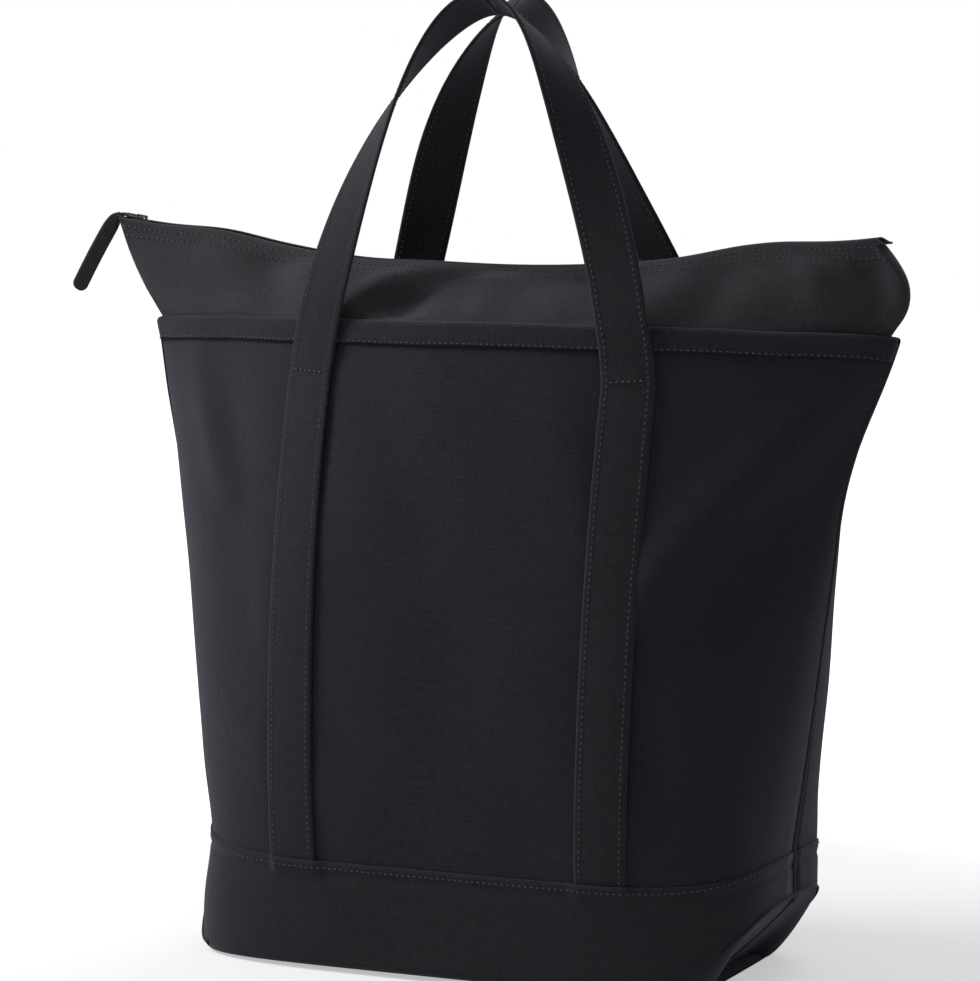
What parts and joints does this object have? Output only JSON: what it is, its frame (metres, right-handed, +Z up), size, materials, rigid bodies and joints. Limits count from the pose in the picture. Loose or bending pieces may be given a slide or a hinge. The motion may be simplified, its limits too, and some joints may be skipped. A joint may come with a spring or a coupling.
{
  "type": "zip-top canvas tote bag",
  "caption": "Open-standing canvas tote bag with a flared zip top, stitched-on straps, upright handles and a smooth base band.",
  "frame": {"origin": "middle of the base's underside, on the surface that the bag stands on", "axes": "+Z up, front panel towards -Y, +X to the right as seen from the front"},
  "size_m": [0.6007, 0.2136, 0.6517],
  "materials": {
    "ribbed_canvas": "heavy charcoal canvas with a level rib",
    "smooth_canvas": "smooth charcoal canvas",
    "strap_canvas": "folded and stitched smooth canvas",
    "zip_canvas": "smooth canvas, a shade lighter",
    "tape": "woven zip tape",
    "coil": "nylon coil",
    "zip_metal": "dark nickel"
  },
  "bodies": {
    "bag": {"front_panel": "ribbed_canvas", "back_panel": "ribbed_canvas", "inner_bottom": "ribbed_canvas", "base_panel": "smooth_canvas", "front_hem_band": "ribbed_canvas", "back_hem_band": "ribbed_canvas", "left_seam_binding": "smooth_canvas", "right_seam_binding": "smooth_canvas", "front_left_strap": "strap_canvas", "front_right_strap": "strap_canvas", "back_left_strap": "strap_canvas", "back_right_strap": "strap_canvas", "front_zip_panel": "zip_canvas", "back_zip_panel": "zip_canvas", "front_zip_tape": "tape", "back_zip_tape": "tape", "front_zip_teeth": "coil", "back_zip_teeth": "coil", "zip_top_stops": "zip_metal", "zip_bottom_stop": "zip_metal"},
    "front_handle": {"front_handle": "strap_canvas"},
    "back_handle": {"back_handle": "strap_canvas"},
    "slider": {"zip_slider": "zip_metal"},
    "pull": {"pull_link": "zip_metal", "pull_tab": "zip_canvas"}
  },
  "joints": [
    {"name": "front_handle_swing", "type": "hinge", "parent": "bag", "child": "front_handle", "pos_m": [0, -0.0745, 0.392], "axis": [1, 0, 0], "range_deg": [0, 170]},
    {"name": "back_handle_swing", "type": "hinge", "parent": "bag", "child": "back_handle", "pos_m": [0, 0.0745, 0.392], "axis": [-1, 0, 0], "range_deg": [0, 170]},
    {"name": "zip_travel", "type": "hinge", "parent": "bag", "child": "slider", "pos_m": [0, 0, 2.19975], "axis": [0, -1, 0], "range_deg": [0, 17.6], "deforming": ["pull_tab"]},
    {"name": "pull_swing", "type": "hinge", "parent": "slider", "child": "pull", "pos_m": [-0.27839, 0, 0.4964], "axis": [0, 1, 0], "range_deg": [0, 180]}
  ]
}
